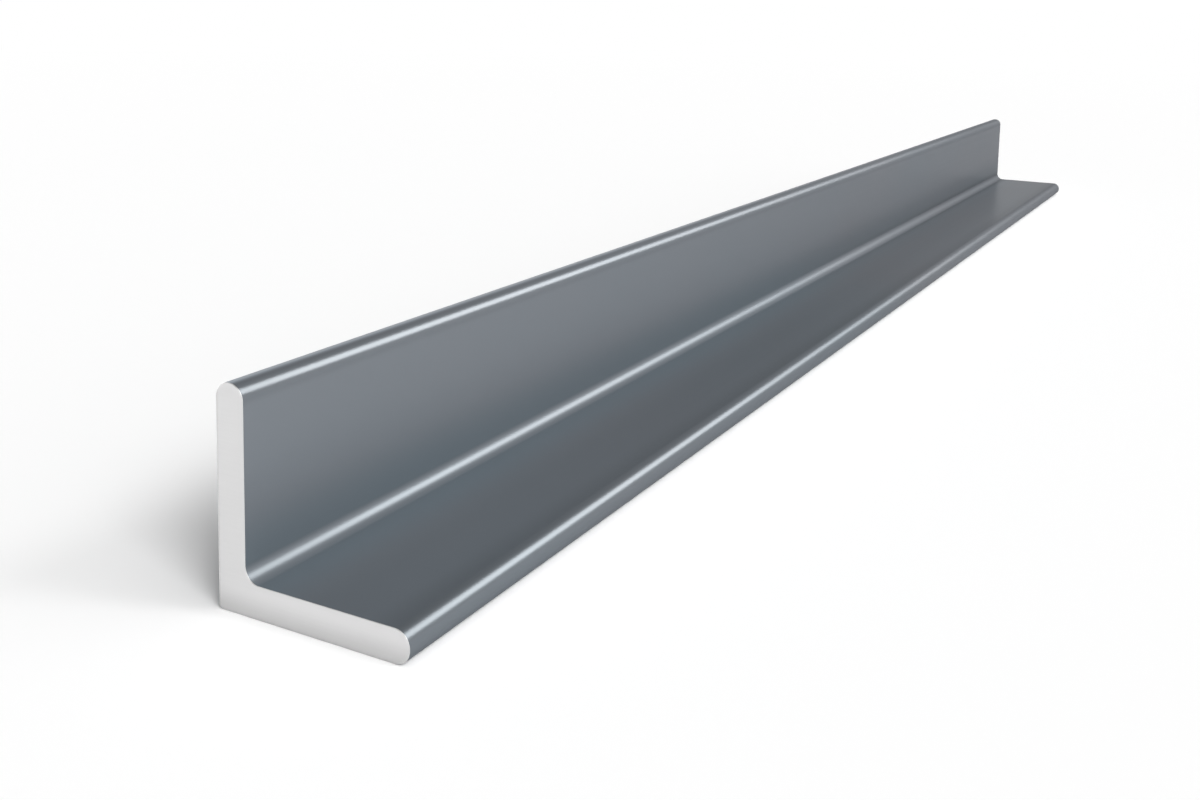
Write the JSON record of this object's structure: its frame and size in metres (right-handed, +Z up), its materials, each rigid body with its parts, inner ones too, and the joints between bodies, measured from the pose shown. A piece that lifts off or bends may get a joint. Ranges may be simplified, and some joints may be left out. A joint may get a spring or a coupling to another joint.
{
  "type": "steel angle",
  "caption": "Straight length of rolled equal-leg steel angle, with rounded toes, a filleted root and square-sawn ends, lying with one leg flat and the other upright.",
  "frame": {"origin": "on the floor under the middle of the bar, at the bottom centre of its bounding box", "axes": "+X runs across the flat leg from the heel to its toe, +Y along the bar, and +Z up along the upright leg"},
  "size_m": [0.04, 0.6, 0.04],
  "materials": {
    "rolled_steel": "blue-grey hot-rolled skin, satin, with faint lengthwise rolling lines; the sawn ends are pale bare metal"
  },
  "bodies": {
    "root": {"angle_bar": "rolled_steel"}
  },
  "joints": []
}
